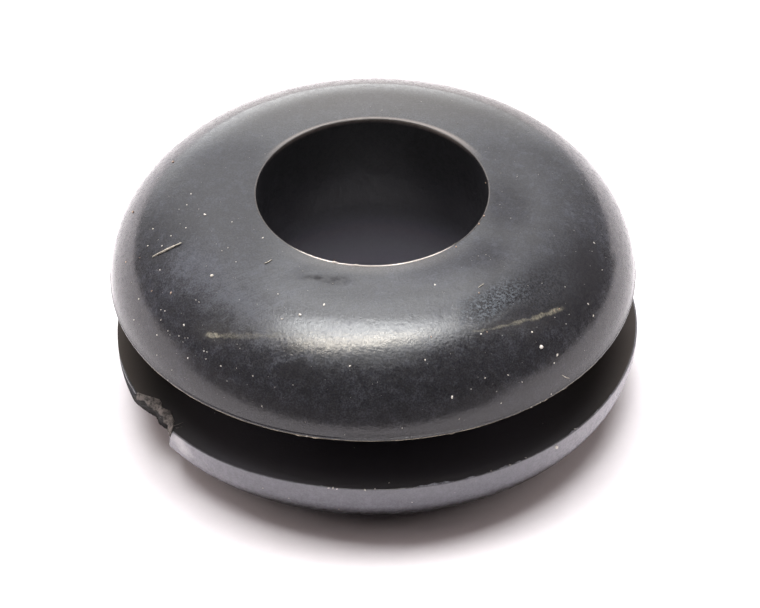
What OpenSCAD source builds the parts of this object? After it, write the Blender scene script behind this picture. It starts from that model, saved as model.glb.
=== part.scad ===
// Rubber panel grommet: one moulding that snaps into a round panel hole and
// lines it, so that a cable can pass through the bore without chafing.
//
// A deep half-round flange lies on the front of the panel, a shallower one
// grips the back, and a plain neck between them stands in the hole. The part
// rests on the flat face of its shallow flange, which is at z = 0, with the
// bore's axis on Z. A flake of the shallow flange's rim is torn away.

/* [Upper flange] */
// Diameter of the upper flange
head_d = 14.3; // [12:0.1:20]
// Height of the upper flange's quarter round, which is also its radius
head_h = 2.85; // [2:0.05:3.6]
// Further rise of the upper flange's land, from the round up to the bore
head_rise = 0.05; // [0:0.01:0.2]

/* [Lower flange] */
// Diameter of the lower flange
foot_d = 14.3; // [12:0.1:20]
// Height of the lower flange's quarter round, which is also its radius
foot_h = 1.85; // [1.4:0.05:2.8]

/* [Panel] */
// Diameter of the panel hole that the neck stands in
hole_d = 9.5; // [8:0.1:11]
// Thickness of the panel that the groove grips
panel_t = 1.6; // [0.8:0.1:3]
// Extra width of the groove over the panel's thickness
panel_fit = 0.05; // [0:0.01:0.2]
// Radius of the fillet where the neck meets each flange
neck_fillet = 0.25; // [0.1:0.05:0.35]

/* [Bore] */
// Diameter of the cable's bore
bore_d = 6.4; // [4:0.1:7]

/* [Tear] */
// Direction of the tear from the axis, in degrees from +X
tear_azimuth = 211; // [0:1:359]
// Length of the tear along the rim
tear_length = 2.1; // [1:0.1:3]
// Depth of the tear into the rim
tear_depth = 0.4; // [0.2:0.05:0.8]
// Lean of the torn face: how far its foot lies inside its top, in degrees
tear_lean = 3; // [0:1:15]

/* [Hidden] */
$fn = 180;

rubber = [0.13, 0.135, 0.15];

head_r = head_d / 2;
foot_r = foot_d / 2;
neck_r = hole_d / 2;
bore_r = bore_d / 2;
groove_w = panel_t + panel_fit;
groove_z = foot_h;
head_z = groove_z + groove_w;
height = head_z + head_h + head_rise;

// Margin by which a cutter passes what it cuts, and by which joined parts of
// the section run into each other
cut = 1;

// The torn edge, seen from above: each point is a share of the tear's
// half length along the rim and a share of its depth into the rim
torn_edge = [[-1, 0], [-0.72, 0.62], [-0.4, 1], [-0.12, 0.93], [0.02, 0.72],
             [0.3, 0.8], [0.52, 0.62], [0.7, 0.3], [1, 0]];

// Half section of a flange that stands up from z = 0: a quarter round at the
// rim, upright where it meets the panel's face, and a land over to the bore
module flange_section(rim_r, round_r, rise) {
    land_r = rim_r - round_r;
    intersection() {
        translate([land_r, 0]) circle(round_r);
        square([rim_r + cut, round_r + cut]);
    }
    polygon([[0, 0], [land_r, 0], [land_r, round_r],
             [bore_r, round_r + rise], [0, round_r + rise]]);
}

// Concave fillet in the corner between the neck and the flange above it, with
// material behind it that runs into both
module fillet_section() {
    difference() {
        translate([-cut, 0]) square(neck_fillet + cut);
        translate([neck_fillet, 0]) circle(neck_fillet);
    }
}

// Half section of the neck, with its fillets, run into the flange at each end
module neck_section() {
    translate([0, -cut]) square([neck_r, groove_w + 2 * cut]);
    translate([neck_r, groove_w - neck_fillet]) fillet_section();
    translate([neck_r, neck_fillet]) mirror([0, 1]) fillet_section();
}

// Half section of the whole moulding, with the bore open
module section() {
    difference() {
        union() {
            translate([0, head_z]) flange_section(head_r, head_h, head_rise);
            translate([0, groove_z]) neck_section();
            translate([0, groove_z]) mirror([0, 1]) flange_section(foot_r, foot_h, 0);
        }
        translate([0, -cut]) square([bore_r, height + 2 * cut]);
    }
}

// The flake that is missing from the lower flange's rim, cut right through it
module torn_flake() {
    half = tear_length / 2;
    inner = [for (p = torn_edge) [foot_r - p[1] * tear_depth, p[0] * half]];
    outer = [[foot_r + cut, half], [foot_r + cut, -half]];
    rotate([0, 0, tear_azimuth])
        translate([foot_r, 0, groove_z])
            rotate([0, tear_lean, 0])
                translate([-foot_r, 0, -foot_h - cut])
                    linear_extrude(foot_h + cut + groove_w / 2)
                        polygon(concat(inner, outer));
}

module grommet() {
    color(rubber) difference() {
        rotate_extrude() section();
        torn_flake();
    }
}

grommet();
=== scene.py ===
# %% [markdown]
# # A rubber grommet in Blender
# A grommet lines a hole in a panel, so that a cable can pass without chafing. This one is a single
# moulding of black rubber: a deep round flange, a shallow one, and a neck with a bore between them.
# It has lived on a bench: it is dusty, its mould left thin flash on the edges, and a flake is torn
# out of its lower rim. Those small things are what make a plain black ring look real.
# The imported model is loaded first. It fixes the sizes, and nothing here moves or resizes it.

# %% Load the frame
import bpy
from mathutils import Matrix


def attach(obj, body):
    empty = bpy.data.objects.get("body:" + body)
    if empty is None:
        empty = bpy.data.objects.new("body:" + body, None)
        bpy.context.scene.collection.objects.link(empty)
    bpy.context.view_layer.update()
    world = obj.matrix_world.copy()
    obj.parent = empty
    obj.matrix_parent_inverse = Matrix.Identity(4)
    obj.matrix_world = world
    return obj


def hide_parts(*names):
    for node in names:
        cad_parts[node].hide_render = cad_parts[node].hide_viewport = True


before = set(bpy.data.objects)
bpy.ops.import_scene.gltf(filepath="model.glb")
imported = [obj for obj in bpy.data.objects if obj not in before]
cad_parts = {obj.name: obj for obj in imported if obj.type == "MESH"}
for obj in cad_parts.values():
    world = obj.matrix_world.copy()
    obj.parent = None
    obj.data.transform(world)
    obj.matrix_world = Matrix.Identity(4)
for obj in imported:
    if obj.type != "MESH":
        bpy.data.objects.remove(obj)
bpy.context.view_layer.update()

# %% What the script uses
import math
import random

import bmesh
import bpy
from mathutils import Matrix, Vector, noise
from mathutils.bvhtree import BVHTree

# %% [markdown]
# ## Sizes
# The piece is small, and Blender's edit tools have tolerances that suit larger things. So every
# mesh is modelled at a thousand times its size, where 1 unit is 1 mm, and shrunk when it is done.
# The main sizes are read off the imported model: a vertex on the rim tells where a flange begins.
# The moulding itself is drawn narrower by a slack and lower by the burr's height, so that its set,
# its flash and its dust all stay inside the true size.

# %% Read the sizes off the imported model, in millimetres
MM = 0.001
NEAR, WELD = 0.001, 0.0001
CAD_POINTS = [vertex.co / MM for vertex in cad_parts["grommet"].data.vertices]
RIM_R = max(point.x for point in CAD_POINTS)
HEIGHT = max(point.z for point in CAD_POINTS)
BORE_R = min(point.xy.length for point in CAD_POINTS)
rim_levels = [point.z for point in CAD_POINTS if point.xy.length > RIM_R - NEAR]
FOOT_Z, HEAD_Z = min(rim_levels), max(rim_levels)
NECK_R = min(point.xy.length for point in CAD_POINTS
             if FOOT_Z + 0.01 < point.z < HEAD_Z - 0.01 and point.xy.length > BORE_R + 0.1)
SLACK, BURR = 0.06, 0.04
HEAD_SET, FOOT_SET = 0.03, 0.035
flange_r = RIM_R - SLACK
land_z = HEIGHT - BURR
print(f"rim radius {RIM_R:.2f}, height {HEIGHT:.2f}, bore radius {BORE_R:.2f} mm")
print(f"groove from z = {FOOT_Z:.2f} to {HEAD_Z:.2f} mm, neck radius {NECK_R:.2f} mm")

# %% [markdown]
# ## Camera
# A long lens from about 26 cm looks down at 38 degrees. It comes first, because dust and marks are
# placed by where they lie in the frame.

# %% Place the camera
FRAME_W, FRAME_H = 760, 608
SENSOR_W = 36.0
VIEW_ELEVATION = math.radians(38.51)
VIEW_ROLL = math.radians(-0.57)
VIEW_TARGET = Vector((0.153, 0.0, 2.504))
VIEW_DISTANCE = 36.2 * flange_r
RIM_IN_PIXELS = 262.1
FOCAL_PIXELS = RIM_IN_PIXELS * VIEW_DISTANCE / flange_r

view_forward = Vector((0, math.cos(VIEW_ELEVATION), -math.sin(VIEW_ELEVATION)))
level_right = Vector((1, 0, 0))
level_up = level_right.cross(view_forward)
view_right = level_right * math.cos(VIEW_ROLL) + level_up * math.sin(VIEW_ROLL)
view_up = level_up * math.cos(VIEW_ROLL) - level_right * math.sin(VIEW_ROLL)
view_place = VIEW_TARGET - view_forward * VIEW_DISTANCE


def link(obj):
    bpy.context.scene.collection.objects.link(obj)


camera_data = bpy.data.cameras.new("bench_camera")
camera_data.sensor_width = SENSOR_W
camera_data.lens = FOCAL_PIXELS * SENSOR_W / FRAME_W
camera_data.clip_start = 0.01
camera = bpy.data.objects.new("bench_camera", camera_data)
link(camera)
view_turn = Matrix((view_right, view_up, -view_forward)).transposed().to_4x4()
camera.matrix_world = Matrix.Translation(view_place * MM) @ view_turn
bpy.context.scene.camera = camera
print(f"lens {camera_data.lens:.0f} mm, {VIEW_DISTANCE:.0f} mm from the grommet")

# %% [markdown]
# ## Modelling helpers
# An operator in edit mode acts on what is selected, so every step selects all, or picks vertices,
# edges or faces by their place, and then calls the operator.

# %% Edit-mode helpers
def only(obj):
    """Makes obj the one selected and active object."""
    bpy.ops.object.select_all(action="DESELECT")
    obj.select_set(True)
    bpy.context.view_layer.objects.active = obj


def edit(obj):
    """Opens obj in edit mode with nothing selected."""
    only(obj)
    bpy.ops.object.mode_set(mode="EDIT")
    bpy.ops.mesh.select_all(action="DESELECT")


def leave_edit():
    bpy.ops.object.mode_set(mode="OBJECT")


def select_all():
    bpy.ops.mesh.select_all(action="SELECT")


MIDDLES = {"verts": ("VERT", lambda vert: vert.co),
           "edges": ("EDGE", lambda edge: (edge.verts[0].co + edge.verts[1].co) / 2),
           "faces": ("FACE", lambda face: face.calc_center_median())}


def pick(kind, test):
    """Selects the verts, edges or faces whose middle passes test, and returns how many."""
    mode, middle = MIDDLES[kind]
    bpy.ops.mesh.select_mode(type=mode)
    bpy.ops.mesh.select_all(action="DESELECT")
    shape = bmesh.from_edit_mesh(bpy.context.object.data)
    found = [item for item in getattr(shape, kind) if test(middle(item))]
    for item in found:
        item.select_set(True)
    bmesh.update_edit_mesh(bpy.context.object.data)
    return len(found)


def near(x, z):
    """A test for a point of the section at radius x and height z."""
    return lambda p: abs(p.x - x) < NEAR and abs(p.z - z) < NEAR


def shift(x, y, z):
    bpy.ops.transform.translate(value=(x, y, z))


def cut(place, normal=(0, 0, 1)):
    """Cuts the whole mesh along a plane."""
    select_all()
    bpy.ops.mesh.bisect(plane_co=place, plane_no=normal, threshold=WELD)


def dissolve_straight():
    """Dissolves what lies on a straight line or within a flat face."""
    select_all()
    bpy.ops.mesh.dissolve_limited(angle_limit=math.radians(1))


def spin_round(steps):
    """Spins a section once round the axis and welds its seam."""
    select_all()
    bpy.ops.mesh.spin(steps=steps, angle=2 * math.pi, center=(0, 0, 0), axis=(0, 0, 1))
    select_all()
    bpy.ops.mesh.remove_doubles(threshold=WELD)


def face_outwards():
    select_all()
    bpy.ops.mesh.normals_make_consistent(inside=False)


def ruffle(piece, offset):
    """Moves every vertex of a piece by what offset says of its place."""
    edit(piece)
    shape = bmesh.from_edit_mesh(piece.data)
    for vertex in shape.verts:
        vertex.co += offset(vertex.co)
    bmesh.update_edit_mesh(piece.data)
    leave_edit()

# %% Object-mode helpers
def direction(azimuth, elevation=0.0):
    """The direction at an azimuth from +X and an elevation, both in radians."""
    return Vector((math.cos(elevation) * math.cos(azimuth),
                   math.cos(elevation) * math.sin(azimuth), math.sin(elevation)))


def settle():
    """Puts the active object's place, turn and size into its mesh."""
    bpy.ops.object.transform_apply(location=True, rotation=True, scale=True)


def sheet(add, name, wide, high, **where):
    """A named flat primitive, with its place, turn and size settled into its mesh."""
    add(size=1, **where)
    piece = bpy.context.object
    piece.name, piece.scale = name, (wide, high, 1)
    settle()
    return piece


def to_real_size(obj):
    """Shrinks a mesh modelled in millimetres to metres, and leaves its object unscaled."""
    only(obj)
    obj.scale = (MM, MM, MM)
    settle()


def apply_modifier(obj, kind, **settings):
    """Adds one modifier with its settings and applies it."""
    only(obj)
    modifier = obj.modifiers.new(kind.lower(), kind)
    for name, value in settings.items():
        setattr(modifier, name, value)
    bpy.ops.object.modifier_apply(modifier=modifier.name)


def roughen(obj, name, size, **settings):
    """Displaces a mesh by a soft procedural texture, with features of about size mm."""
    texture = bpy.data.textures.new(name, "CLOUDS")
    texture.noise_scale, texture.noise_depth = size, 2
    apply_modifier(obj, "DISPLACE", texture=texture, texture_coords="LOCAL", **settings)

# %% [markdown]
# ## The turned body
# The moulding is round, so its half section is drawn once and spun. The section starts as one flat
# rectangle from the bore to the rim. Cuts mark the groove, the groove's face is deleted, and the
# rest is dissolved into one outline.

# %% Draw the half section
body = sheet(bpy.ops.mesh.primitive_plane_add, "rubber_moulding", flange_r - BORE_R, land_z,
             location=((BORE_R + flange_r) / 2, 0, land_z / 2), rotation=(math.pi / 2, 0, 0))
edit(body)
cut((0, 0, FOOT_Z))
cut((0, 0, HEAD_Z))
cut((NECK_R, 0, 0), (1, 0, 0))
pick("faces", lambda p: p.x > NECK_R and FOOT_Z < p.z < HEAD_Z)
bpy.ops.mesh.delete(type="FACE")
dissolve_straight()
leave_edit()
print(len(body.data.vertices), "corners in the section")

# %% [markdown]
# The mould closed at the upper flange's lower edge and left a thin bead there, so a cut just above
# the edge lets everything over it step in a little. The flange's top isn't flat: it still climbs
# towards the bore, so its outer corner is lowered.

# %% Step the dome in above its bead, and slope its top
BEAD, BEAD_STEP = 0.075, 0.018
LAND_SLOPE = math.radians(4.5)
bead_z, step_z = HEAD_Z + BEAD, HEAD_Z + BEAD + BEAD_STEP
land_drop = (flange_r - BORE_R) * math.tan(LAND_SLOPE)

edit(body)
cut((0, 0, bead_z))
cut((0, 0, step_z))
pick("verts", lambda p: p.x > flange_r - NEAR and p.z > bead_z + NEAR)
shift(-BEAD_STEP, 0, 0)
pick("verts", lambda p: p.x > NECK_R and p.z > land_z - NEAR)
shift(0, 0, -land_drop)
dissolve_straight()
leave_edit()
print(f"the land drops {land_drop:.2f} mm from the bore to where its round begins")

# %% [markdown]
# A vertex bevel as long as a flange is high makes its quarter round. Tiny ones break the edges,
# because no moulded edge is a perfect line, and a light along an edge shows it. The dome is wider
# than it is high, so the section is squeezed while its round is made, and then stretched again.

# %% Round the section's corners, each with its radius, height, bevel and number of segments
EDGE_BREAKS = [
    (BORE_R, land_z, 0.05, 5),
    (BORE_R, 0.0, 0.12, 4),
    (flange_r, HEAD_Z, 0.03, 3),
    (flange_r, bead_z, 0.015, 2),
    (flange_r, FOOT_Z, 0.03, 3),
    (NECK_R, FOOT_Z, 0.25, 5),
    (NECK_R, HEAD_Z, 0.25, 5),
    (flange_r, 0.0, FOOT_Z - 0.035, 30),
]
DOME_STRETCH, DOME_SEGMENTS, DOME_MARGIN = 1.1, 44, 0.01
dome_x, dome_z = flange_r - BEAD_STEP, land_z - land_drop


def bevel_corner(size, segments):
    bpy.ops.mesh.bevel(affect="VERTICES", offset=size, segments=segments, profile=0.5)


def stretch(share):
    select_all()
    bpy.ops.transform.resize(value=(share, 1, 1), center_override=(0, 0, 0))


edit(body)
for corner_x, corner_z, size, segments in EDGE_BREAKS:
    found = pick("verts", near(corner_x, corner_z))
    bevel_corner(size, segments)
    print(f"corner at {corner_x:.2f}, {corner_z:.2f}: {found} point, rounded by {size:.2f} mm")
stretch(1 / DOME_STRETCH)
pick("verts", near(dome_x / DOME_STRETCH, dome_z))
bevel_corner(dome_z - step_z - DOME_MARGIN, DOME_SEGMENTS)
stretch(DOME_STRETCH)
leave_edit()
print(len(body.data.vertices), "points in the rounded section")

# %% Keep the outline, divide its long stretches and spin it
SPIN_STEPS = 400
STRETCH = 0.22
edit(body)
select_all()
bpy.ops.mesh.delete(type="ONLY_FACE")
outline = bmesh.from_edit_mesh(body.data)
stretches = [((edge.verts[0].co + edge.verts[1].co) / 2, edge.calc_length())
             for edge in outline.edges if edge.calc_length() > 1.5 * STRETCH]
for middle, length in stretches:
    pick("edges", lambda p: (p - middle).length < NEAR)
    bpy.ops.mesh.subdivide(number_cuts=int(length / STRETCH))
spin_round(SPIN_STEPS)
face_outwards()
leave_edit()
print(len(body.data.polygons), "faces after the spin")

# %% [markdown]
# Soft rubber takes a set. The upper flange has crept a little one way and the lower one the other,
# and the neck is left to lean between them. The bead is only proud on the left of the front, so
# elsewhere the step above it is pushed out again.

# %% Shift the flanges and fade the bead
SET_REACH = 0.3
BEAD_FROM, BEAD_TO = math.radians(-137), math.radians(-97)
FADE_BAND, FADE_GROWTH = 0.012, 1.0022
edit(body)
pick("verts", lambda p: p.z > HEAD_Z - SET_REACH)
shift(-HEAD_SET, 0, 0)
pick("verts", lambda p: p.z < FOOT_Z + SET_REACH)
shift(FOOT_SET, 0, 0)
faded = pick("verts", lambda p: abs(p.z - step_z) < FADE_BAND
             and not BEAD_FROM < math.atan2(p.y, p.x + HEAD_SET) < BEAD_TO)
bpy.ops.transform.resize(value=(FADE_GROWTH, FADE_GROWTH, 1), center_override=(-HEAD_SET, 0, 0))
leave_edit()
print(faded, "points of the step pushed out")

# %% [markdown]
# The set isn't even. The bore is a trace narrower from side to side. Where the lower rim has lost
# its flake it hangs on one side of the tear and is drawn in on the other, each as a smooth hump in
# the angle round the axis that dies out towards the neck. Last, the skin gets a faint waviness.

# %% Pinch the bore, droop the torn rim and ruffle the skin
BORE_PINCH, BORE_SHIFT, BORE_REACH = 0.028, 0.005, 1.6
DROOP, DROOP_AZIMUTH, DROOP_REACH = 0.085, 229, 30
PULL, PULL_AZIMUTH, PULL_REACH = 0.09, 177, 25


def pinched(p):
    """How far a point of the upper flange or of the bore's wall has crept inwards."""
    share = max(0.0, 1 - (p.xy.length - BORE_R) / BORE_REACH) * min(1.0, max(0.0, p.z) / HEAD_Z)
    return Vector((share * (BORE_SHIFT - BORE_PINCH * p.x), 0, 0))


def hump(azimuth, centre, reach):
    """1 at an azimuth in degrees, falling smoothly to 0 at reach degrees from it."""
    return max(0.0, 1 - ((azimuth - centre) / reach) ** 2) ** 2


def drooped(p):
    """How far a point of the lower flange hangs and is drawn in."""
    if p.z > FOOT_Z + SET_REACH:
        return Vector((0, 0, 0))
    azimuth = math.degrees(math.atan2(p.y, p.x)) % 360
    hang = hump(azimuth, DROOP_AZIMUTH, DROOP_REACH)
    pull = hump(azimuth, PULL_AZIMUTH, PULL_REACH)
    outwards = min(1.0, max(0.0, (p.xy.length - NECK_R) / (flange_r - NECK_R)))
    sideways = p.xy.normalized() * -PULL * pull * outwards
    return Vector((*sideways, -DROOP * hang * outwards * max(0.0, p.z) / FOOT_Z))


ruffle(body, lambda p: pinched(p) + drooped(p))
roughen(body, "skin_waves", 2.6, strength=0.016, mid_level=1.0)

# %% [markdown]
# ## The torn flake
# A flake is missing from the lower rim. A tear isn't a clean cut, so the tool that takes it away is
# a grid, bent to the tear's outline and roughened at two scales, then thickened outwards. It leans
# in as it goes down, and its ends lie further back there. A boolean subtracts it, and the torn
# face keeps the tool's own material slot.

# %% Shape the tearing tool, whose outline is shares of the half length and of the depth
TEAR_AZIMUTH, TEAR_LEAN = math.radians(212.3), math.radians(19)
TEAR_LENGTH, TEAR_DEPTH = 2.2, 0.42
FRONT_SLANT, BACK_SLANT = 0.6, 0.72
TEAR_EDGE = [(-1.3, -0.6), (-1, 0), (-0.68, 0.48), (-0.38, 0.98), (-0.24, 0.92), (-0.1, 0.7),
             (0.02, 0.84), (0.12, 0.96), (0.28, 0.86), (0.48, 0.68), (0.68, 0.3), (0.84, -0.1),
             (1.06, -0.6)]
TOOL_W, TOOL_H, TOOL_RISE, TOOL_THICKNESS = 2.86, 2.6, 0.35, 1.5
TOOL_CELLS, TOOL_ROWS = 66, 52


def tear_depth_at(share):
    """How deep the tear is, as a share, at a share of its half length."""
    for (s0, d0), (s1, d1) in zip(TEAR_EDGE, TEAR_EDGE[1:]):
        if s0 <= share <= s1:
            return d0 + (d1 - d0) * (share - s0) / (s1 - s0)
    return TEAR_EDGE[0][1] if share < 0 else TEAR_EDGE[-1][1]


def slanted(p):
    """How far back a point of the tool lies for its depth below the rim."""
    share = p.y / TEAR_LENGTH + 0.5
    slant = FRONT_SLANT * share + BACK_SLANT * (1 - share)
    return Vector((0, -max(0.0, FOOT_Z - p.z) * slant, 0))


def swing_to_tear():
    """Takes what is modelled on the +X side of the lower rim round to the tear."""
    select_all()
    bpy.ops.transform.rotate(value=-TEAR_AZIMUTH, orient_axis="Z", center_override=(0, 0, 0))
    shift(FOOT_SET, 0, 0)


tool = sheet(bpy.ops.mesh.primitive_grid_add, "tearing_tool", TOOL_W, TOOL_H,
             location=(flange_r, 0, FOOT_Z - TOOL_H / 2 + TOOL_RISE),
             rotation=(math.pi / 2, 0, math.pi / 2),
             x_subdivisions=TOOL_CELLS, y_subdivisions=TOOL_ROWS)
edit(tool)
select_all()
bpy.ops.transform.rotate(value=-TEAR_LEAN, orient_axis="Y", center_override=(flange_r, 0, FOOT_Z))
for column in range(TOOL_CELLS + 1):
    along = (column / TOOL_CELLS - 0.5) * TOOL_W
    pick("verts", lambda p: abs(p.y - along) < 0.3 * TOOL_W / TOOL_CELLS)
    shift(-TEAR_DEPTH * tear_depth_at(2 * along / TEAR_LENGTH), 0, 0)
leave_edit()
ruffle(tool, slanted)
roughen(tool, "torn_lumps", 0.45, direction="X", strength=0.14, mid_level=0.5)
roughen(tool, "torn_crumbs", 0.1, direction="X", strength=0.06, mid_level=0.5)
edit(tool)
select_all()
bpy.ops.mesh.extrude_region_move(TRANSFORM_OT_translate={"value": (TOOL_THICKNESS, 0, 0)})
swing_to_tear()
face_outwards()
leave_edit()
print(len(tool.data.polygons), "faces on the tool")

# %% Tear the flake away
def material(name):
    """The material of that name, which is made when it is first asked for."""
    return bpy.data.materials.get(name) or bpy.data.materials.new(name)


body.data.materials.append(material("black_rubber"))
tool.data.materials.append(material("torn_rubber"))
apply_modifier(body, "BOOLEAN", object=tool, operation="DIFFERENCE", solver="EXACT",
               material_mode="TRANSFER")
bpy.data.objects.remove(tool)
print(len(body.data.polygons), "faces after the tear, of which",
      sum(face.material_index for face in body.data.polygons), "are torn")

# %% [markdown]
# ## Where small things lie
# Dust, lint and marks are placed by where they show in the frame. A line from the lens through
# such a place is followed until it meets the rubber, so each one really lies on the skin.

# %% Follow a line of sight to the skin
skin = BVHTree.FromPolygons([vertex.co for vertex in body.data.vertices],
                            [face.vertices for face in body.data.polygons])


def seen_at(x, y):
    """The point, in mm, and the normal of the skin behind (x, y), from the frame's top left."""
    across = (x - FRAME_W / 2) / FOCAL_PIXELS
    down = (y - FRAME_H / 2) / FOCAL_PIXELS
    sight = (view_forward + view_right * across - view_up * down).normalized()
    point, normal, _, _ = skin.ray_cast(view_place, sight)
    return point, normal


print("the skin has", len(body.data.polygons), "faces")

# %% Finish the body, and a way to finish every smaller piece
BODY_SMOOTH, PIECE_SMOOTH = 35, 60


def carry(piece, smooth):
    """Smooths a piece up to an angle, shrinks it to its real size and rides it on the root."""
    only(piece)
    bpy.ops.object.shade_smooth_by_angle(angle=math.radians(smooth))
    to_real_size(piece)
    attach(piece, "root")


def finish_piece(piece, finish):
    """Gives a small piece its finish and lets it ride on the moulding."""
    piece.data.materials.clear()
    piece.data.materials.append(material(finish))
    carry(piece, PIECE_SMOOTH)


carry(body, BODY_SMOOTH)
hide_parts("grommet")

# %% [markdown]
# ## Flash
# Where the mould's halves met, rubber crept into the joint and left a paper-thin fin, torn to an
# uneven height when the part was pulled out. Each fin is a tiny wedge, rooted in the rubber and
# spun like the body. Noise along the ring then sets how high it stands.

# %% Spin a fin of flash
FIN_ROOT, FIN_STEPS, FIN_TAPER = 0.05, 960, 0.35


def along_ring(angle, radius, scale, seed):
    """Noise from -1 to 1 along a ring, with features of about scale mm."""
    return noise.noise(Vector((math.cos(angle) * radius / scale, math.sin(angle) * radius / scale,
                               seed)))


def fin(name, centre_x, radius, level, lean, reach, thickness, height_at, gap=None):
    """A wedge rooted at a radius and level, leaning by lean degrees from outwards, then spun.

    It stands as high as height_at says of the angle, and is left out between gap's two azimuths."""
    turn = math.radians(lean)
    middle = (reach - FIN_ROOT) / 2
    piece = sheet(bpy.ops.mesh.primitive_plane_add, name, reach + FIN_ROOT, thickness,
                  rotation=(math.pi / 2, -turn, 0),
                  location=(radius + middle * math.cos(turn), 0, level + middle * math.sin(turn)))

    def height(p, from_x=0.0):
        across = math.hypot(p.x - from_x, p.y) - radius
        return across * math.cos(turn) + (p.z - level) * math.sin(turn)

    def offset(p):
        angle = math.atan2(p.y, p.x - centre_x)
        share = max(0.0, height(p, centre_x) / reach)
        return direction(angle, turn) * share * (height_at(angle) - reach)

    edit(piece)
    select_all()
    bpy.ops.mesh.delete(type="ONLY_FACE")
    pick("edges", lambda p: abs(height(p) - middle) < NEAR)
    bpy.ops.mesh.subdivide(number_cuts=2)
    pick("verts", lambda p: height(p) > reach - NEAR)
    tip = (radius + reach * math.cos(turn), 0, level + reach * math.sin(turn))
    bpy.ops.transform.resize(value=(FIN_TAPER,) * 3, center_override=tip)
    spin_round(FIN_STEPS)
    if gap:
        pick("faces", lambda p: gap[0] < math.degrees(math.atan2(p.y, p.x)) % 360 < gap[1])
        bpy.ops.mesh.delete(type="FACE")
        select_all()
        bpy.ops.mesh.fill_holes(sides=0)
    face_outwards()
    shift(centre_x, 0, 0)
    leave_edit()
    ruffle(piece, offset)
    print(f"{name}: {len(piece.data.polygons)} faces")
    return piece


def bump_at(angle, centre, width):
    """1 at an azimuth in degrees, falling to 0 at width degrees from it."""
    away = abs((math.degrees(angle) - centre + 180) % 360 - 180)
    return max(0.0, 1 - away / width) ** 0.7


def bumps_at(angle, centres, width):
    return sum(bump_at(angle, centre, width) for centre in centres)

# %% The burr round the bore
BURR_ROOT_R, BURR_ROOT_Z, BURR_TOP = BORE_R + 0.03, land_z - 0.012, HEIGHT - 0.003
BURR_SCRAPS = (7, 335.4, 341, 314, 262, 251)


def burr_height(angle):
    front = bump_at(angle, 272, 55)
    rough = 0.5 + 0.5 * along_ring(angle, BORE_R, 0.16, 3.0)
    return min(BURR_TOP - BURR_ROOT_Z, 0.006 + 0.03 * front * (0.6 + 0.4 * rough)
               + 0.014 * rough * along_ring(angle, BORE_R, 0.9, 8.0)
               + 0.022 * bumps_at(angle, BURR_SCRAPS, 1.2))


burr = fin("bore_burr", -HEAD_SET, BURR_ROOT_R, BURR_ROOT_Z, 100, 0.03, 0.036, burr_height)
ruffle(burr, pinched)
# The burr's palest colour is kept to its front, where it is a painted highlight.
finish_piece(burr, "flash_pale_and_glint")

# %% The fins on the two flanges
HEAD_TICKS = (253.5, 257, 310, 316, 287)
FOOT_RAGGED = [(284, 10), (293, 6), (300, 3), (318, 2), (327, 1.5), (333, 1.5), (258, 1.5)]
FOOT_GAP = (203.8, 220.5)


def head_fin_height(angle):
    return (0.022 + 0.008 * along_ring(angle, flange_r, 0.3, 5.0)
            + 0.03 * bumps_at(angle, HEAD_TICKS, 0.8))


def foot_fin_height(angle):
    ragged = max(bump_at(angle, at, width) for at, width in FOOT_RAGGED)
    lumps = max(0.0, 0.35 + along_ring(angle, flange_r, 0.22, 1.5)
                + 0.6 * along_ring(angle, flange_r, 0.07, 2.5))
    return 0.006 + 0.005 * along_ring(angle, flange_r, 0.2, 9.0) + 0.085 * ragged * lumps


head_fin = fin("head_flash", -HEAD_SET, flange_r - 0.03, HEAD_Z + 0.012, -90, 0.022, 0.026,
               head_fin_height)
finish_piece(head_fin, "flash_tan")
foot_fin = fin("foot_flash", FOOT_SET, flange_r - 0.035, FOOT_Z - 0.02, 92, 0.02, 0.03,
               foot_fin_height, FOOT_GAP)
ruffle(foot_fin, drooped)
finish_piece(foot_fin, "flash_grey")

# %% [markdown]
# ## The torn edge
# Rubber doesn't break cleanly. Along the top of the tear a pale stretched lip curls over the dark
# torn face, and a few shreds stand up where the flake let go. The lip is a strip bent along the
# tear's outline and thickened, and the shreds are thin curves that become meshes.

# %% Curl the torn lip
LIP_CELLS, LIP_W, LIP_FALL, LIP_ALONG, LIP_INSET = 80, 0.2, 0.14, -0.04, 0.06
LIP_LENGTH = 0.86 * TEAR_LENGTH
lip = sheet(bpy.ops.mesh.primitive_grid_add, "torn_lip", LIP_LENGTH, LIP_W,
            x_subdivisions=LIP_CELLS, y_subdivisions=6, rotation=(0, 0, math.pi / 2),
            location=(flange_r + LIP_W / 2 - LIP_INSET, LIP_ALONG, FOOT_Z))


def lip_offset(p):
    share = 2 * p.y / TEAR_LENGTH
    outward = max(0.0, (p.x - flange_r + LIP_INSET) / LIP_W)
    smoothed = sum(tear_depth_at(share + step) for step in (-0.3, -0.15, 0.0, 0.15, 0.3)) / 5
    inward = -TEAR_DEPTH * (tear_depth_at(share) * (1 - outward) + smoothed * outward)
    wander = noise.noise(Vector((p.y * 5.0, outward * 2.0, 4.0)))
    crumbs = noise.noise(Vector((p.y * 16.0, outward * 6.0, 9.0)))
    taper = max(0.0, 1 - abs(2 * (p.y - LIP_ALONG) / LIP_LENGTH) ** 4)
    ragged = outward * (0.09 * wander + 0.06 * crumbs) - outward * LIP_W * 0.75 * (1 - taper)
    fall = -LIP_FALL * outward ** 1.6 * (1 + 0.5 * wander)
    return Vector((inward + ragged, 0.04 * crumbs * outward, 0.012 + fall + 0.018 * crumbs))


ruffle(lip, lip_offset)
apply_modifier(lip, "SOLIDIFY", thickness=0.035, offset=0.0)
apply_modifier(lip, "SUBSURF", levels=1, render_levels=1)
edit(lip)
swing_to_tear()
leave_edit()
ruffle(lip, drooped)
finish_piece(lip, "stretched_rubber")
print(len(lip.data.polygons), "faces on the lip")

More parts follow.
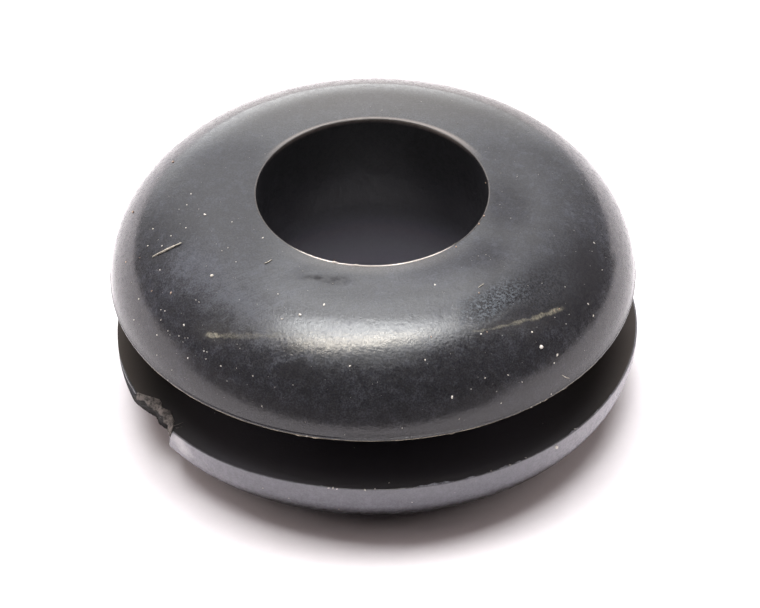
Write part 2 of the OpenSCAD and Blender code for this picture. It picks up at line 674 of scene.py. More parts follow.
# %% Draw thin strands as curves
def strand(points, thickness):
    """A thin round strand through points in mm, as a mesh."""
    curve = bpy.data.curves.new("strand", "CURVE")
    curve.dimensions = "3D"
    curve.bevel_depth, curve.bevel_resolution = thickness / 2, 1
    curve.resolution_u, curve.use_fill_caps = 4, True
    spline = curve.splines.new("BEZIER")
    spline.bezier_points.add(len(points) - 1)
    for knot, point in zip(spline.bezier_points, points):
        knot.co = point
        knot.handle_left_type = knot.handle_right_type = "AUTO"
    spline.bezier_points[0].radius = spline.bezier_points[-1].radius = 0.5
    piece = bpy.data.objects.new("strand", curve)
    link(piece)
    only(piece)
    bpy.ops.object.convert(target="MESH")
    return bpy.context.object


def join(pieces, name):
    """Makes one object of many."""
    only(pieces[0])
    for piece in pieces:
        piece.select_set(True)
    bpy.ops.object.join()
    pieces[0].name = name
    return pieces[0]

# %% Stand the shreds up, each by its shift, length, rise and bend inwards
SHREDS = [(0.00, 0.10, 0.05, 0.26), (0.05, 0.15, 0.02, 0.15), (-0.10, 0.06, 0.08, 0.08),
          (0.13, 0.08, 0.05, 0.04)]
SHREDS_ASIDE, SHREDS_INSIDE, SHREDS_BELOW, SHRED_THICKNESS = 0.095, 0.2, 0.03, 0.022
shreds = []
for along, length, rise, inwards in SHREDS:
    angle = TEAR_AZIMUTH + SHREDS_ASIDE + along / flange_r
    outwards = direction(angle)
    sideways = Vector((-outwards.y, outwards.x, 0))
    root = outwards * (flange_r - SHREDS_INSIDE) + Vector((FOOT_SET, 0, FOOT_Z - SHREDS_BELOW))
    shreds.append(strand([root, root + sideways * length * 0.5 + Vector((0, 0, rise * 0.8)),
                          root + sideways * length - outwards * inwards + Vector((0, 0, rise))],
                         SHRED_THICKNESS))
shreds = join(shreds, "torn_shreds")
ruffle(shreds, drooped)
finish_piece(shreds, "stretched_rubber")

# %% [markdown]
# ## Dust and lint
# Bench dust is grit and skin: pale, lumpy specks, a few tan ones, and some lint. One speck is
# modelled, and every other is a copy with its own turn and size, sunk a little into the skin it
# lies on. The ones that show are placed one by one, and a seeded scatter adds the finest all round.

# %% Model one speck
bpy.ops.mesh.primitive_ico_sphere_add(subdivisions=1, radius=1)
speck = bpy.context.object
speck.name = "speck"
edit(speck)
select_all()
bpy.ops.transform.vertex_random(offset=0.28, seed=5)
bpy.ops.transform.resize(value=(1.2, 0.95, 0.62))
leave_edit()
only(speck)
bpy.ops.object.shade_smooth()

# %% Place the specks, each by its place in the frame and its size
DICE_SEED = 14
DUST_PALE = [
    (205, 215, 1.5), (212, 276, 2.4), (263, 238, 1.0), (300, 315, 1.9), (324, 305, 1.5),
    (282, 319, 1.2), (350, 366, 1.3), (541, 347, 2.6), (557, 355, 1.5), (593, 316, 1.3),
    (556, 447, 3.0), (452, 397, 1.5), (188, 358, 1.1), (204, 351, 1.1), (184, 325, 1.2),
    (160, 270, 1.0), (139, 299, 1.2), (187, 205, 1.0), (191, 194, 0.9), (171, 236, 0.9),
    (222, 251, 0.8), (228, 248, 0.8), (221, 366, 0.9), (253, 376, 0.9), (262, 406, 0.9),
    (435, 285, 1.2), (425, 360, 1.1), (481, 334, 1.0), (532, 332, 1.1), (554, 363, 1.0),
    (588, 304, 1.0), (565, 287, 0.9), (485, 378, 0.9), (508, 375, 0.9), (522, 382, 0.9),
    (471, 389, 0.8), (501, 403, 0.8), (459, 419, 0.8), (402, 428, 0.8), (263, 488, 0.9),
    (289, 498, 1.0), (365, 490, 1.1), (375, 489, 0.9), (328, 488, 0.9), (389, 483, 0.9),
    (333, 488, 1.1), (491, 471, 1.0), (510, 465, 1.0), (526, 458, 1.0), (575, 429, 1.0),
    (307, 436, 1.0), (318, 438, 0.9), (531, 407, 1.0), (551, 394, 1.0), (412, 502, 1.0),
    (329, 488, 0.9), (337, 489, 0.8), (153, 229, 1.1), (186, 228, 1.0), (162, 246, 1.1),
    (161, 310, 0.6), (165, 311, 0.7), (161, 320, 0.7), (184, 325, 1.0), (157, 335, 0.7),
    (168, 331, 0.7), (170, 335, 0.6), (179, 336, 0.7), (185, 338, 0.6), (188, 338, 0.6),
    (183, 342, 0.5), (207, 352, 0.9), (206, 359, 0.7), (227, 381, 0.6), (172, 370, 0.6),
    (168, 380, 0.7), (199, 302, 0.6), (134, 320, 0.9), (157, 355, 0.7), (594, 243, 1.1),
    (602, 270, 0.9), (566, 324, 0.7), (148, 246, 1.0), (196, 300, 0.8), (236, 262, 0.7),
    (278, 294, 0.7), (232, 222, 0.8)]
DUST_TAN = [
    (171, 293, 1.2), (152, 291, 1.0), (133, 212, 2.0), (173, 162, 1.8), (479, 293, 1.0),
    (487, 332, 0.9), (339, 509, 1.0), (237, 491, 1.0), (431, 337, 1.0), (486, 183, 1.4),
    (484, 216, 1.3), (479, 224, 1.2), (456, 247, 1.1), (334, 260, 1.2), (559, 309, 1.2),
    (554, 311, 1.0), (140, 258, 1.0), (126, 262, 1.1)]
SPECK_R = 0.8 * flange_r / RIM_IN_PIXELS
SPECK_LIFT = 0.35
dice = random.Random(DICE_SEED)


def lay_speck(point, normal, radius):
    """A copy of the speck on the skin, flat side down and sunk in a little."""
    copy = speck.copy()
    copy.data = speck.data.copy()
    link(copy)
    spin = Matrix.Rotation(dice.uniform(0, 2 * math.pi), 4, "Z")
    stretched = Matrix.Diagonal((radius * dice.uniform(0.75, 1.5), radius * dice.uniform(0.7, 1.1),
                                 radius * dice.uniform(0.7, 1.1), 1))
    upright = normal.to_track_quat("Z", "Y").to_matrix().to_4x4()
    lifted = Matrix.Translation(point + normal * radius * SPECK_LIFT)
    copy.data.transform(lifted @ upright @ spin @ stretched)
    return copy


for name, places, finish in (("dust_pale", DUST_PALE, "pale_dust"),
                             ("dust_tan", DUST_TAN, "tan_dust")):
    specks = []
    for x, y, size in places:
        point, normal = seen_at(x, y)
        if point and point.z + size * SPECK_R < HEIGHT:
            specks.append(lay_speck(point, normal, size * SPECK_R))
    finish_piece(join(specks, name), finish)
    print(name, len(specks), "specks, of", len(places))

# %% Scatter the finest dust all round
SCATTER, FROM_AFAR = 560, 30
FINE_SIZES = (0.006, 0.007, 0.009, 0.012)
specks = []
while len(specks) < SCATTER:
    azimuth, sine = dice.uniform(0, 2 * math.pi), dice.uniform(-0.15, 0.95)
    outwards = direction(azimuth, math.asin(sine))
    aim = Vector((dice.uniform(-3, 3), dice.uniform(-3, 3), dice.uniform(1, 5)))
    point, normal, _, _ = skin.ray_cast(aim + outwards * FROM_AFAR, -outwards)
    radius = dice.choice(FINE_SIZES) * dice.uniform(0.8, 1.2)
    if point and 0.1 < point.z < HEIGHT - 0.03 and not FOOT_Z < point.z < HEAD_Z \
            and BORE_R + 0.1 < point.xy.length < RIM_R - 0.02:
        specks.append(lay_speck(point, normal, radius))
finish_piece(join(specks, "dust_fine"), "fine_dust")
bpy.data.objects.remove(speck)
print(SCATTER, "fine specks")

# %% Lay the lint, each strand by its places, their lifts off the skin and its thickness
LINT = [
    ([(153, 257), (168, 250), (182, 243.5)], (0.02, 0.03, 0.035), 0.065),
    ([(264, 264), (267, 263), (272, 260)], (0.015, 0.02, 0.015), 0.032),
    ([(478, 288), (481, 286), (484, 284)], (0.015, 0.02, 0.015), 0.028),
    ([(562, 375), (565, 377), (569, 378)], (0.015, 0.02, 0.015), 0.03)]
strands = []
for places, lifts, thickness in LINT:
    found = [seen_at(*place) for place in places]
    strands.append(strand([point + normal * lift for (point, normal), lift in zip(found, lifts)],
                          thickness))
finish_piece(join(strands, "lint_strands"), "lint")
print(len(LINT), "strands of lint")

# %% Floor
bpy.ops.mesh.primitive_plane_add(size=2, location=(0, 0, 0))
floor = bpy.context.object
floor.name = "floor"

# %% [markdown]
# ## Shader maths
# A material is a drawing of nodes, but its sums read better as Python. A Signal is one node's
# output, and adding or multiplying two of them adds the Math node that does it. Any other node
# comes from one method of the tree's wrapper.

# %% Signals and node trees
class Signal:
    """The output of a node, so that sums on it read as Python."""

    def __init__(self, tree, socket):
        self.tree, self.socket = tree, socket

    def maths(self, operation, *terms):
        return self.tree.node("Math", dict(enumerate(terms)), operation=operation)

    def __add__(self, other): return self.maths("ADD", self, other)
    def __radd__(self, other): return self.maths("ADD", other, self)
    def __sub__(self, other): return self.maths("SUBTRACT", self, other)
    def __rsub__(self, other): return self.maths("SUBTRACT", other, self)
    def __mul__(self, other): return self.maths("MULTIPLY", self, other)
    def __rmul__(self, other): return self.maths("MULTIPLY", other, self)
    def __truediv__(self, other): return self.maths("DIVIDE", self, other)
    def __rpow__(self, other): return self.maths("POWER", other, self)

    def at_least(self, low):
        return self.maths("MAXIMUM", self, low)

    def between(self, low, high):
        """0 below low, 1 above high, and a smooth rise between them."""
        return self.tree.node("MapRange", {"Value": self, "From Min": low, "From Max": high},
                              interpolation_type="SMOOTHSTEP")

    def fades(self, low, high):
        """1 below low, 0 above high, and a smooth fall between them."""
        return 1.0 - self.between(low, high)


class Tree:
    """A node tree, and the one way to add a node to it."""

    def __init__(self, owner):
        owner.use_nodes = True
        self.nodes, self.links = owner.node_tree.nodes, owner.node_tree.links
        self.nodes.clear()

    def node(self, kind, values=None, output=0, **settings):
        node = self.nodes.new("ShaderNode" + kind)
        for name, value in settings.items():
            setattr(node, name, value)
        for name, value in (values or {}).items():
            if isinstance(value, Signal):
                self.links.new(value.socket, node.inputs[name])
            else:
                node.inputs[name].default_value = value
        return Signal(self, node.outputs[output]) if node.outputs else node

    def vector(self, operation, *terms, output=0):
        return self.node("VectorMath", dict(enumerate(terms)), output=output, operation=operation)

    def blend(self, factor, first, second):
        """Goes from one colour to another as factor goes from 0 to 1."""
        colours = [value if isinstance(value, Signal) else (*value, 1) for value in (first, second)]
        return self.node("Mix", {0: factor, 6: colours[0], 7: colours[1]}, output=2,
                         data_type="RGBA")

    def noise(self, place, scale, detail=3, roughness=0.5):
        return self.node("TexNoise", {"Vector": place, "Scale": scale, "Detail": detail,
                                      "Roughness": roughness})

# %% [markdown]
# ## Black rubber
# Old rubber isn't one shiny black. A waxy bloom creeps out of it and dries to a grey film, which
# spreads reflections wide, and where fingers have wiped it the bare rubber still gives sharp ones.
# So the finish is two glosses, one tight and one broad, mixed by how much bloom there is, and a
# matt one where dirt or wear has killed the gloss. Bloom also pales the colour, and some patches
# thin it only to paint shade. Other colours paint light and shade: glints, sheens, and the light
# in the bore and the groove. Each mark is drawn in coordinates of its own, in which it is a ball
# of radius 1.

# %% Places on the rubber
def in_millimetres(tree):
    """Object coordinates in millimetres."""
    return tree.vector("MULTIPLY", tree.node("TexCoord", output="Object"), (1 / MM,) * 3)


def place_length(vector):
    return vector.tree.vector("LENGTH", vector, output="Value")


def from_axis(place):
    """How far a place lies from the vertical axis."""
    return place_length(place.tree.vector("MULTIPLY", place, (1, 1, 0)))


def parts(vector):
    """The x, y and z of a vector as three signals."""
    split = vector.tree.node("SeparateXYZ", {"Vector": vector}, output="X")
    outputs = split.socket.node.outputs
    return [Signal(vector.tree, outputs[axis]) for axis in "XYZ"]


def wavered(place, scale, detail, reach):
    """A place moved about by noise, so that an edge drawn there is uneven."""
    drift = place.tree.node("TexNoise", {"Vector": place, "Scale": scale, "Detail": detail},
                            output="Color")
    drift = place.tree.vector("SUBTRACT", drift, (0.5,) * 3)
    return place.tree.vector("ADD", place, place.tree.vector("MULTIPLY", drift, (reach,) * 3))

# %% Patches, spots and strokes on the skin
def patch(place, x, y, wide, high, turn=0.0, deep=0.8, towards=None):
    """Coordinates in which the patch of skin round (x, y) is a ball of radius 1.

    Its long side is turned by an angle in the frame, or points towards a place."""
    centre, normal = seen_at(x, y)
    angle = math.radians(turn)
    along = view_right * math.cos(angle) + view_up * math.sin(angle)
    if towards:
        along = towards - centre
    along = (along - normal * along.dot(normal)).normalized()
    axes = Matrix((along, normal.cross(along), normal)).transposed()
    return place.tree.node("Mapping", {
        "Vector": place, "Location": centre, "Rotation": axes.to_euler(),
        "Scale": (wide, high, deep)}, vector_type="TEXTURE")


def inside(ball, core):
    """1 inside a patch out to core of its radius, falling to 0 at its edge."""
    return place_length(ball).fades(core, 1.0)


def spots(place, rows):
    """The sum of patches, each by x, y, width, height, turn, core and weight."""
    total = 0.0
    for x, y, wide, high, turn, core, weight in rows:
        total = inside(patch(place, x, y, wide, high, turn), core) * weight + total
    return total


def stroke(place, start, end, high):
    """A patch along a line from one place in the frame to another."""
    first, _ = seen_at(*start)
    last, _ = seen_at(*end)
    middle = ((start[0] + end[0]) / 2, (start[1] + end[1]) / 2)
    return patch(place, *middle, (last - first).length / 2, high, towards=last)

# %% Where the marks lie, by x, y, half width, half height, turn, core and weight
MARKS = {
    "crust": [(491, 302, 1.5, 0.64, 35, 0.2, 1.0)],
    "faint_crust": [(545, 284, 1.9, 1.1, 35, 0.1, 1.0)],
    "haze": [(440, 262, 2.3, 1.1, 32, 0.55, 1.0)],
    # The left haze is film in its first two patches, and its last is a painted sheen that draws the
    # highlight out below.
    "left_haze_and_sheen": [(204, 274, 2.4, 1.0, -42, 0.3, 1.0), (250, 312, 1.5, 0.8, -25, 0.2, 0.8),
                  (262, 342, 1.0, 0.36, -4, 0.1, 0.9)],
    "land_shade": [(452, 262, 2.2, 1.0, 32, 0.2, 0.42), (592, 266, 1.5, 1.0, 62, 0.2, 0.6),
                   (506, 205, 1.0, 1.6, 10, 0.2, 0.22)],
    # The next three patches are painted shade: they thin the pale film, so the rubber there is
    # darker.
    "left_shade": [(226, 314, 0.9, 0.5, -10, 0.2, 1.0)],
    "right_shade": [(555, 294, 1.95, 1.4, 34, 0.3, 1.0)],
    "far_right_shade": [(586, 276, 2.0, 1.05, 60, 0.2, 1.0)],
    "smudges": [(336, 280, 0.78, 0.30, 0, 0.1, 0.9), (296, 276, 0.5, 0.3, 20, 0.1, 0.5),
                (318, 268, 1.0, 0.25, 12, 0.1, 0.4), (314, 278, 0.5, 0.22, 5, 0.1, 0.9)],
    # A painted sheen of the floor's reflection on the flange's side, where the tear ends
    "torn_end_sheen": [(180, 444, 0.55, 0.5, -30, 0.2, 1.0)],
}
WIPED_PLACE = (255, 292, 2.0, 1.3, 26)
RING_PLACE = (294, 370, 0.66, 0.34, 4)
# Painted reflections of thin lights, as streaks from x0, y0 to x1, y1 in the frame, each with its
# half height and weight
GLINT_STREAKS = [
    (202, 334.5, 225, 336, 0.10, 1.0), (214, 335.5, 248, 336, 0.11, 0.33),
    (236, 336, 272, 336, 0.12, 0.26), (258, 336, 292, 335.5, 0.11, 0.2),
    (468, 332, 494, 328.5, 0.05, 0.4), (486, 329.5, 514, 324, 0.06, 0.5),
    (506, 325.5, 534, 318, 0.08, 0.6), (526, 320.5, 552, 312, 0.095, 0.75),
    (544, 315, 566, 307, 0.11, 0.8)]

# %% Draw bloom, crust, wipes, smudges and painted shade on the dome
tree = Tree(material("black_rubber"))
place = in_millimetres(tree)
x_mm, y_mm, z_mm = parts(place)
radius = from_axis(place)
warped = wavered(place, 1.6, 4, 0.55)
mark = {name: spots(warped, rows) for name, rows in MARKS.items()}

cloudy = tree.noise(place, 0.9, 5, 0.6)
mottle = tree.noise(place, 3.2, 5, 0.65)
grain = tree.noise(place, 11.0, 4, 0.65)
sand = tree.noise(place, 22.0, 2, 0.6).between(0.38, 0.62)
mosaic = tree.noise(place, 6.0, 3, 0.6).between(0.42, 0.58)
bloom = sand * 0.20 - 0.10 + cloudy.between(0.38, 0.72) * 0.14 \
    + mottle.between(0.42, 0.72) * 0.24 + grain * 0.14

crackle = tree.noise(place, 15.0, 6, 0.8).between(0.46, 0.55)
crust = (mark["crust"] * 0.9 + mark["faint_crust"] * 0.2) * crackle
crust_gaps = mark["crust"] * (1.0 - crackle)

wipe_ball = patch(place, *WIPED_PLACE)
wipe_lines = tree.noise(tree.vector("MULTIPLY", wipe_ball, (1.0, 16.0, 1.0)), 2.4, 6, 0.72)
wipes = inside(patch(warped, *WIPED_PLACE), 0.3) * wipe_lines.between(0.42, 0.62) \
    * mottle.between(0.3, 0.55)

# Painted shade on the dome's left, broken up by the mottle.
left_shade = mark["left_shade"] * mottle.between(0.35, 0.55)
ring_ball = patch(warped, *RING_PLACE)
ring_reach = place_length(ring_ball)
ring_dark = ring_reach.fades(0.5, 0.95)
ring_line = ring_reach.between(0.8, 0.97) * ring_reach.fades(1.0, 1.16) \
    * parts(ring_ball)[1].between(-0.1, 0.5)

# %% Painted reflections of thin lights, drawn as warm streaks along the dome
along_dome = wavered(place, 7.0, 3, 0.16)
glint_grain = tree.noise(place, 20.0, 4, 0.75).between(0.40, 0.58)
glint_streaks = 0.0
for x0, y0, x1, y1, high, weight in GLINT_STREAKS:
    glint_streaks = inside(stroke(along_dome, (x0, y0), (x1, y1), high), 0.25) * weight + glint_streaks
glint_streaks = glint_streaks.between(-0.2, 1.2) * (0.3 + 0.7 * glint_grain)

# %% How much of the dome's film is left after wear and painted shade
dulled = bloom + mark["haze"] * 0.14 + mark["left_haze_and_sheen"] * 0.24 + wipes * 0.34 + ring_line * 0.20
rubbed_and_shaded = mark["crust"] * 0.6 + mark["faint_crust"] * 0.6 + mark["far_right_shade"] * 0.85 \
    + left_shade * 0.5 + mark["right_shade"] * 0.55 + mark["smudges"] * 0.7 + ring_dark * 0.8
unworn_unshaded = 1.0 - rubbed_and_shaded.between(0.0, 1.0) * 0.85
film = (dulled * unworn_unshaded + crust * 0.3).between(-0.05, 1.05)

# %% [markdown]
# The rest goes by height, radius and side rather than by a place in the frame: dust with a painted
# sheen of the floor's reflection on the lower flange's side, painted light and shade deep in the
# groove and in the bore, painted highlights round the bore's edge, and painted sheens on the dome's
# far side and low down. Beside the tear the lower rim hangs, and its dust and sheen hang with it.

# %% Bore, groove and the lower flange's side
in_bore = radius.fades(BORE_R + 0.02, BORE_R + 0.12) * z_mm.fades(HEIGHT - 0.2, HEIGHT - 0.06)
off_bore = 1.0 - in_bore
# Painted highlights: one along the bore's back edge, and one on the land just in front of the bore.
back_rim_glint = radius.fades(BORE_R + 0.04, BORE_R + 0.16) * y_mm.between(1.2, 2.8)
front_rim_glint = radius.fades(BORE_R + 0.06, BORE_R + 0.45) * y_mm.fades(-3.3, -2.1)
# A painted sheen high on the dome's far side.
far_sheen = y_mm.between(2.0, 5.0) * z_mm.between(4.2, 5.0)
# The dome's low part, whose colour here is a painted sheen of the floor's reflection.
low_dome = z_mm.between(HEAD_Z - 0.05, HEAD_Z + 0.1) * z_mm.fades(3.9, 4.8)

hang = math.radians(DROOP_AZIMUTH)
towards_hang = x_mm * math.cos(hang) + y_mm * math.sin(hang)
off_hang = (y_mm * math.cos(hang) - x_mm * math.sin(hang)) \
    / (radius * math.sin(math.radians(DROOP_REACH)))
hanging = (1.0 - off_hang * off_hang).at_least(0.0)
hanging = hanging * hanging * towards_hang.between(0.0, 1.0) \
    * ((radius - NECK_R) * (1 / (flange_r - NECK_R)))
foot_z = z_mm + hanging * DROOP

x_squared = x_mm * x_mm
sides = x_squared.between(8.0, 36.0)
front_left = x_mm.fades(-5.2, -2.4)
# Dust on the lower flange's side with a painted sheen of the floor's reflection: it keeps to the
# flange's upper part, reaches lower at the front left, is paler at the sides and fades towards the
# back.
on_foot_side = radius.between(6.25, 6.7) * (z_mm + front_left * 0.32).between(0.70, 1.20) \
    * foot_z.fades(FOOT_Z - 0.03, FOOT_Z + 0.005)
beyond_tear = x_mm.fades(-5.6, -4.2) * y_mm.between(-3.75, -2.75) * y_mm.fades(0.5, 3.5)
foot_dust_and_sheen = on_foot_side * (0.94 + 0.06 * mottle.between(0.3, 0.7)) \
    * (0.95 + 0.05 * grain.between(0.35, 0.65)) * (1.0 - beyond_tear) \
    * (1.0 - 0.65 * y_mm.between(-1.0, 4.0))

foot_radius = from_axis(tree.vector("SUBTRACT", place, (FOOT_SET, 0, 0)))
in_groove = foot_z.between(FOOT_Z - 0.12, FOOT_Z - 0.08) * z_mm.fades(HEAD_Z, HEAD_Z + 0.03) \
    * radius.between(BORE_R + 0.5, BORE_R + 0.9) \
    * foot_radius.fades(flange_r - 0.07, flange_r - 0.035) \
    * (1.0 - radius.between(6.7, 7.0) * z_mm.between(3.2, 3.5))

# %% Mix the rubber's colour, with its painted light and shade
# Bare rubber, bloom, crust and wipes are the rubber's own colours. The rest carry painted light and
# shade: the warm streak is a painted reflection of thin lights, the lower flange's two dust colours
# carry a painted sheen, the bore's three go from painted light low down to painted shade at the
# top, the rims' colours are painted highlights, the far and low dome colours are painted sheens,
# the groove's three are its painted tone in shade, and the torn end's is a painted sheen.
BARE, BLOOM = (0.0066, 0.0063, 0.0102), (0.046, 0.050, 0.067)
CRUST, STREAK_GLINT = (0.105, 0.12, 0.14), (0.42, 0.39, 0.29)
FOOT_FRONT_DUST_SHEEN, FOOT_SIDE_DUST_SHEEN, WIPED = (0.184, 0.184, 0.21), (0.30, 0.295, 0.327), (0.026, 0.029, 0.033)
BORE_LOW_LIT, BORE_MIDDLE_SHADED = (0.235, 0.23, 0.265), (0.033, 0.032, 0.039)
BORE_HIGH_SHADED, BACK_RIM_GLINT = (0.006, 0.006, 0.0078), (0.22, 0.19, 0.17)
FRONT_RIM_GLINT, FAR_SHEEN, GROOVE_FRONT_TONE = (0.10, 0.094, 0.09), (0.10, 0.088, 0.072), (0.050, 0.049, 0.057)
GROOVE_SIDE_SHADE, GROOVE_END_TONE = (0.018, 0.0155, 0.0145), (0.052, 0.044, 0.038)
LOW_DOME_SHEEN, TORN_END_SHEEN = (0.032, 0.031, 0.035), (0.55, 0.54, 0.55)

# Painted light and shade in the bore: pale low down, darker higher up, near black at the top.
bore_painted_light = tree.blend(z_mm.between(1.1, 3.7), BORE_LOW_LIT, BORE_MIDDLE_SHADED)
bore_painted_light = tree.blend(z_mm.between(2.9, 5.4), bore_painted_light, BORE_HIGH_SHADED)
# Painted light and shade deep in the groove: lighter near the middle of its front and back, darker
# further round, and brown at its far ends.
groove_painted_tone = tree.blend(x_squared.between(30.0, 50.0), GROOVE_SIDE_SHADE, GROOVE_END_TONE)
groove_painted_tone = tree.blend(sides, GROOVE_FRONT_TONE, groove_painted_tone)

colour = tree.blend(film, BARE, BLOOM)
for share, paint in (
        (crust * 0.8, CRUST),
        (wipes * 0.5, WIPED),
        (foot_dust_and_sheen, tree.blend(sides, FOOT_FRONT_DUST_SHEEN, FOOT_SIDE_DUST_SHEEN)),
        (glint_streaks * 0.5, STREAK_GLINT),
        (in_bore * 0.95, bore_painted_light),
        (back_rim_glint * off_bore * 0.7, BACK_RIM_GLINT),
        (front_rim_glint * off_bore * 0.5, FRONT_RIM_GLINT),
        (far_sheen * off_bore * 0.3, FAR_SHEEN),
        (in_groove * 0.9, groove_painted_tone),
        (low_dome * 0.3, LOW_DOME_SHEEN),
        (mark["torn_end_sheen"] * foot_dust_and_sheen * (1.0 - in_groove) * 0.7, TORN_END_SHEEN)):
    colour = tree.blend(share, colour, paint)

# %% Mix the tight, the broad and the matt finish
calm = on_foot_side * 0.75 + y_mm.between(1.0, 5.0) * 0.95 + x_squared.between(16.0, 44.0) * 0.6
relief = (grain * 0.0065 + mottle * 0.007) * calm.fades(-0.1, 1.15) \
    + crust * 0.009 + wipes * 0.0004
bump = tree.node("Bump", {"Height": relief, "Distance": MM, "Strength": 1.0}, output="Normal")
broadness = 0.10 + film * 0.7 + wipes * 0.25 + foot_dust_and_sheen * 0.3 + glint_streaks * 0.5 + in_bore * 0.5 \
    + mark["left_haze_and_sheen"] * 0.32 + mosaic * 0.24 + sand * 0.18 - 0.21
side_land = x_squared.between(2.5, 11.0) * (1.0 - 0.75 * x_squared.between(20.0, 35.0)) \
    * y_mm.fades(1.8, 3.4)
back_right = x_mm.between(0.5, 4.0) * y_mm.between(1.5, 4.0)
mattness = 0.36 * back_right + 0.40 * side_land * (1.0 - back_right) * z_mm.between(5.2, 5.9) \
    + mark["smudges"] * 0.7 * mottle.between(0.3, 0.6) + mark["land_shade"] \
    + beyond_tear * z_mm.fades(1.72, 1.84) + mark["right_shade"] * 0.5 + ring_dark * 0.35 \
    + crust_gaps * 0.3 + in_bore * 0.6 + in_groove * 0.95


def gloss(roughness, **more):
    """One of the rubber's finishes, which share their colour and relief."""
    return tree.node("BsdfPrincipled", {"Base Color": colour, "Normal": bump,
                                        "Roughness": roughness, **more})


glosses = tree.node("MixShader", {
    0: broadness.between(-0.1, 1.1) * (1.0 - low_dome * 0.5),
    1: gloss(0.07 + mottle * 0.07), 2: gloss(0.4 + film * 0.3 + in_bore * 0.1)})
tree.node("OutputMaterial", {"Surface": tree.node("MixShader", {
    0: mattness.between(-0.02, 1.02), 1: glosses,
    2: gloss(0.85, **{"Specular IOR Level": 0.15})})})
print(len(tree.nodes), "nodes in the black rubber")

# %% [markdown]
# ## Torn, stretched and crumbly
# The torn face has never been polished by a mould, so it is matt, with pits at two scales. Rubber
# that was stretched before it broke goes pale, which is the lip's grey-brown. The flash is as thin
# as paper and has dried out, so it is pale too. The burr round the bore is palest at its front,
# where its colour is a painted highlight.

# %% One recipe for the rough finishes
def rough_finish(name, dark, light, scale, low=0.35, high=0.65, roughness=0.75, relief=0.01,
                 level=0.4, front=None):
    """A matt finish that varies between two colours, with lumps of 1 / scale mm.

    Where front is given, the light colour is kept to where y lies below those values, and is a
    painted highlight there."""
    tree = Tree(material(name))
    place = in_millimetres(tree)
    lumps = tree.noise(place, scale, 5, 0.65)
    fine = tree.noise(place, scale * 5, 3, 0.6)
    share = (lumps * 0.7 + fine * 0.3).between(low, high)
    if front:
        share = share * parts(place)[1].fades(*front)
    shader = tree.node("BsdfPrincipled", {
        "Base Color": tree.blend(share, dark, light), "Roughness": roughness + 0.15 * fine,
        "Specular IOR Level": level,
        "Normal": tree.node("Bump", {"Height": lumps * relief + fine * relief * 0.3,
                                     "Distance": MM}, output="Normal")})
    tree.node("OutputMaterial", {"Surface": shader})


rough_finish("torn_rubber", (0.005, 0.005, 0.005), (0.027, 0.025, 0.023), 2.4, relief=0.03)
rough_finish("stretched_rubber", (0.026, 0.023, 0.022), (0.15, 0.132, 0.122), 5.5, 0.38, 0.6,
             relief=0.02)
rough_finish("flash_pale_and_glint", (0.045, 0.040, 0.038), (0.90, 0.83, 0.76), 1.3, 0.26, 0.44,
             roughness=0.5, front=(-3.0, -2.2))
rough_finish("flash_grey", (0.045, 0.046, 0.054), (0.24, 0.245, 0.28), 3.0, 0.4, 0.62)
rough_finish("flash_tan", (0.06, 0.054, 0.044), (0.34, 0.30, 0.23), 3.0, 0.35, 0.6)
rough_finish("pale_dust", (0.42, 0.39, 0.34), (0.85, 0.82, 0.76), 6.0, level=0.2)
rough_finish("tan_dust", (0.22, 0.15, 0.11), (0.50, 0.38, 0.30), 6.0, level=0.2)
rough_finish("fine_dust", (0.16, 0.155, 0.145), (0.52, 0.50, 0.46), 0.8, level=0.2)
rough_finish("lint", (0.22, 0.20, 0.17), (0.52, 0.49, 0.42), 8.0, level=0.2)

# %% [markdown]
# ## Floor
# A sheet of smooth white card. It is so strongly lit that only the shadow shows, but its faint
# tooth and its warm tint colour the light that it throws back up.

# %% White card
rough_finish("white_card", (0.86, 0.84, 0.865), (0.88, 0.86, 0.885), 1.2, roughness=0.9,
             relief=0.004, level=0.0)
floor.data.materials.append(material("white_card"))

# %% [markdown]
# ## Light
# The studio is soft and plain. A broad oval light hangs just over the grommet and a pale backdrop
# glows behind it, while the front of the room is dim. The glow is drawn in the world as a few soft
# lobes, each brightest in one direction. The camera itself sees plain white beyond the floor.

# %% Draw the room's glow, whose lobes have an azimuth, elevation, sharpness and strength
ROOM_BASE, WHITE_BEYOND = 0.2, 1.2
ROOM_LOBES = [(97, 55, 6.5, 3.3), (90, 72, 22.0, 3.4), (96, 0, 14.0, 3.4)]
FILL_SHARE = 0.2
FILL_TINT, GLOW_TINT = (1.0, 0.76, 0.73), (0.97, 0.985, 1.0)
world = bpy.data.worlds.new("studio")
room = Tree(world)
look = room.node("TexCoord", output="Generated")
glow = ROOM_BASE
for azimuth, elevation, sharpness, strength in ROOM_LOBES:
    aim = direction(math.radians(azimuth), math.radians(elevation))
    facing = room.vector("DOT_PRODUCT", look, aim, output="Value")
    glow = strength * math.e ** ((facing - 1.0) * sharpness) + glow
diffuse_ray = room.node("LightPath", output="Is Diffuse Ray")
camera_ray = room.node("LightPath", output="Is Camera Ray")
room_light = room.node("Background", {
    "Color": room.blend(diffuse_ray, GLOW_TINT, FILL_TINT),
    "Strength": glow * (1.0 - diffuse_ray * (1.0 - FILL_SHARE))})
plain_white = room.node("Background", {"Color": (1, 1, 1, 1), "Strength": WHITE_BEYOND})
room.node("OutputWorld", {"Surface": room.node("MixShader", {
    0: camera_ray, 1: room_light, 2: plain_white})})
bpy.context.scene.world = world

# %% [markdown]
# Some lights are seen only in reflections and draw the highlights, and the others only light what
# is matt. The four that hang flat make one highlight: a wide oval, its bright core, a warm rim to
# its front and, further out, a dim sheen on the dome below it.

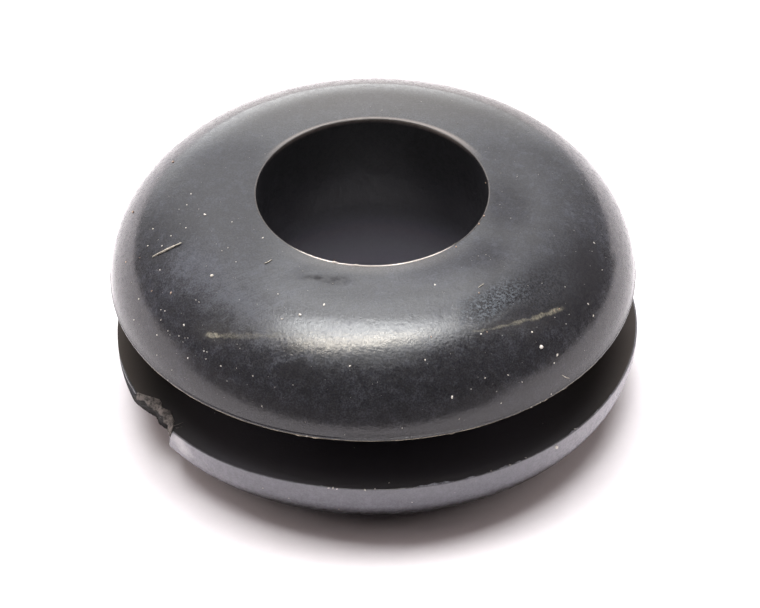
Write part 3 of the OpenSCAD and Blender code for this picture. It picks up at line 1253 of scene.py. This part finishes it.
# %% Hang the lights
LIGHT_DISTANCE = 0.3
COOL, WARM = (0.97, 0.99, 1.0), (1.0, 0.92, 0.80)
WARM_RIM, WARM_FILL = (1.0, 0.90, 0.74), (1.0, 0.85, 0.81)


def soft_light(name, azimuth, elevation, half_wide, half_high, radiance, color, hidden_from,
               shape="RECTANGLE"):
    """A flat light that faces the grommet. Its reach is given in degrees as seen from there."""
    width = 2 * LIGHT_DISTANCE * math.tan(math.radians(half_wide))
    height = 2 * LIGHT_DISTANCE * math.tan(math.radians(half_high))
    area = width * height * (math.pi / 4 if shape == "ELLIPSE" else 1)
    data = bpy.data.lights.new(name, "AREA")
    data.shape = shape
    data.size, data.size_y = width, height
    data.color = color
    data.energy = radiance * math.pi * area
    light = bpy.data.objects.new(name, data)
    link(light)
    away = direction(math.radians(azimuth), math.radians(elevation))
    light.location = away * LIGHT_DISTANCE
    light.rotation_euler = away.to_track_quat("Z", "Y").to_euler()
    light.visible_camera = False
    setattr(light, "visible_" + hidden_from, False)
    return light


def flat_light(name, place, half_wide, half_high, radiance, color, shape="ELLIPSE", turn=0.0):
    """A light for reflections only, that hangs at a place, in metres, and faces straight down."""
    light = soft_light(name, 0, 90, half_wide, half_high, radiance, color, "diffuse", shape)
    light.location = place
    light.rotation_euler = (0, 0, math.radians(turn))


flat_light("overhead_wide", (-0.016, -0.036, 0.3), 30, 17, 6.0, COOL)
flat_light("overhead_core", (-0.012, -0.013, 0.28), 19, 8.5, 8.0, COOL)
flat_light("warm_edge", (-0.034, -0.062, 0.26), 18, 3.5, 21.0, WARM_RIM, turn=15)
flat_light("front_glow", (-0.03, -0.176, 0.3), 22, 9.5, 1.6, COOL, "RECTANGLE")
soft_light("key", 101, 76, 33, 14.5, 12.0, (1, 1, 1), "glossy", "ELLIPSE")
soft_light("left_fill", 165, 24, 26, 14, 3.1, WARM_FILL, "glossy")
soft_light("right_fill", 15, 24, 26, 14, 2.4, WARM_FILL, "glossy")
soft_light("left_tube", 190, 42, 0.5, 18, 9, WARM, "diffuse")
soft_light("right_tube", 353, 45, 0.5, 16, 8, WARM, "diffuse")
bpy.context.scene.view_settings.view_transform = "Standard"

# %% [markdown]
# Dark cards just over the floor stand in for the dark parts of the room. They're seen only in
# reflections, where they end the pale floor with a dark edge.

# %% Lay the dark cards, by their corners in millimetres
FRONT_FLAG = [(-30, -8), (-15, -14), (0, -16.5), (20, -19), (60, -40), (60, -200), (-120, -200),
              (-120, -20)]
RIGHT_FLAG = [(44, -30), (48, 0), (44, 14), (40, 26), (60, 46), (300, 230), (300, -200),
              (61, -41), (61, -38)]
FLAG_Z = 0.03
rough_finish("dark_card", (0.11, 0.11, 0.11), (0.13, 0.13, 0.13), 0.5, roughness=0.9, level=0.0)
for name, corners in (("front_flag", FRONT_FLAG), ("right_flag", RIGHT_FLAG)):
    bpy.ops.mesh.primitive_circle_add(vertices=len(corners), fill_type="NGON")
    flag = bpy.context.object
    flag.name = name
    for vertex, (x, y) in zip(flag.data.vertices, corners):
        vertex.co = (x, y, FLAG_Z)
    to_real_size(flag)
    for ray in ("camera", "diffuse", "shadow", "transmission"):
        setattr(flag, "visible_" + ray, False)
    flag.data.materials.append(material("dark_card"))
